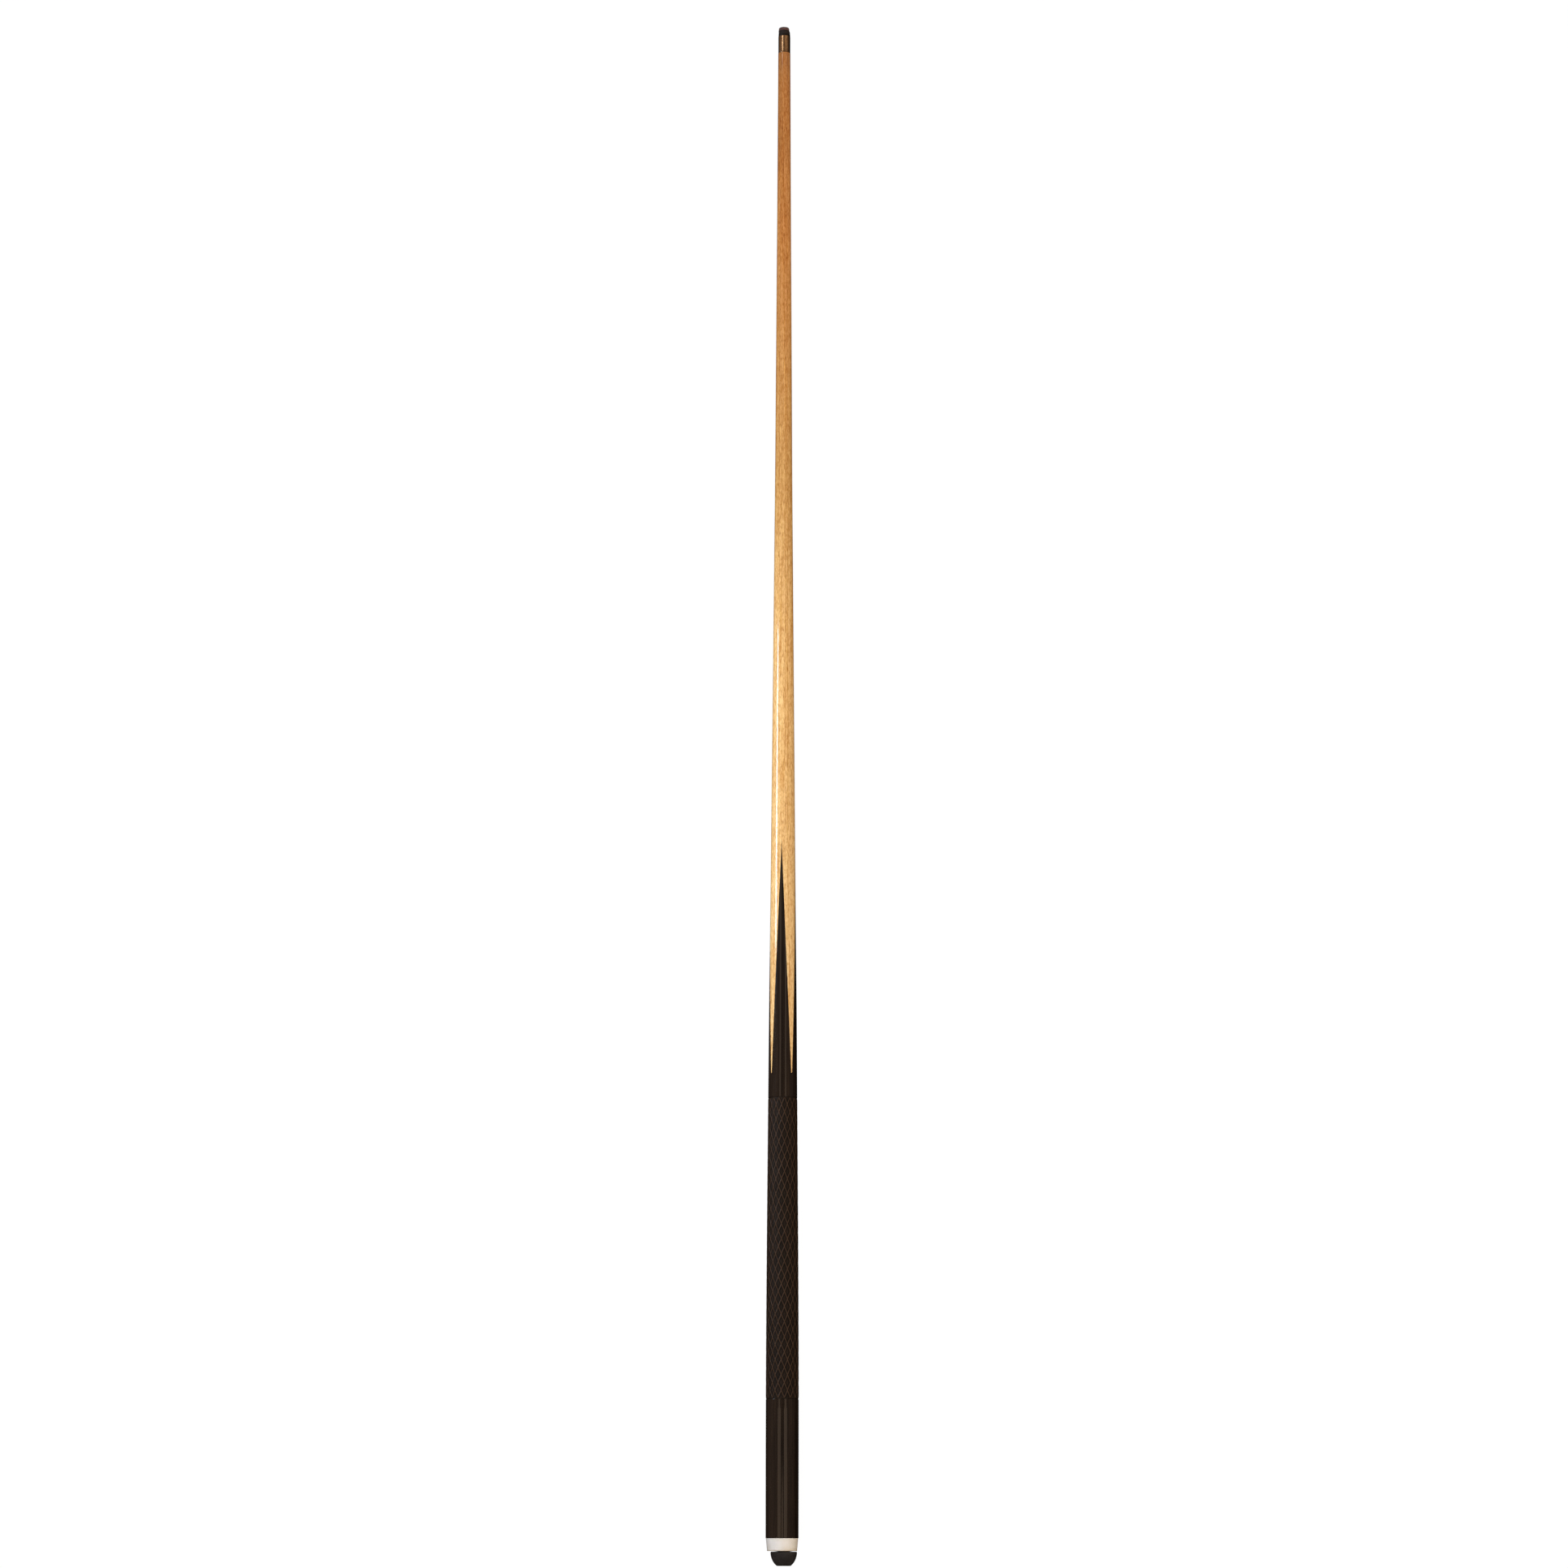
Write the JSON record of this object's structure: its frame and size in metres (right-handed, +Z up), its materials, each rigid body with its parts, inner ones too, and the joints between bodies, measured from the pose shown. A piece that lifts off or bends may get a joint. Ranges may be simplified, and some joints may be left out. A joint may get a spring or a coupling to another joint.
{
  "type": "pool cue",
  "caption": "One-piece wooden pool cue with a spliced butt, grip wrap, brass ferrule, screw-in leather tip and pull-out rubber bumper.",
  "frame": {"origin": "on the cue's axis, at the flat end face of the rubber bumper", "axes": "+X along the cue's axis from the butt to the tip, +Z up with the cue lying down, +Y across"},
  "size_m": [1.4478, 0.0296, 0.0296],
  "materials": {
    "bumper": "black moulded rubber",
    "butt_cap": "aged ivory white, satin",
    "butt": "black stained and lacquered",
    "shaft": "clear lacquer, honey coloured",
    "grip_wrap": "embossed black vinyl with a diamond lattice",
    "weight_bolt": "zinc plated, threaded",
    "ferrule": "aged, worn smooth",
    "tip_pad": "black fibre",
    "tip_screw": "machined, threaded",
    "tip_leather": "pressed leather, burnished edge"
  },
  "bodies": {
    "cue": {"butt": "butt", "shaft": "shaft", "grip_wrap": "grip_wrap", "butt_cap": "butt_cap", "ferrule": "ferrule"},
    "tip_face": {"tip_leather": "tip_leather"},
    "tip_base": {"tip_pad": "tip_pad", "tip_screw": "tip_screw"},
    "bumper": {"bumper": "bumper"},
    "weight_bolt": {"weight_bolt": "weight_bolt"}
  },
  "joints": [
    {"name": "tip_travel", "type": "slide", "parent": "cue", "child": "tip_face", "axis": [1, 0, 0], "range_m": [0, 0.008]},
    {"name": "tip_turn", "type": "hinge", "parent": "tip_face", "child": "tip_base", "pos_m": [1.44, 0, 0], "axis": [1, 0, 0], "range_deg": [0, 2880]},
    {"name": "bumper_pull", "type": "slide", "parent": "cue", "child": "bumper", "axis": [-1, 0, 0], "range_m": [0, 0.03]},
    {"name": "bolt_travel", "type": "slide", "parent": "cue", "child": "weight_bolt", "axis": [-1, 0, 0], "range_m": [0, 0.02]}
  ],
  "couplings": [
    {"joint": "tip_turn", "follows": "tip_travel", "rad_per_m": 6283.2}
  ]
}
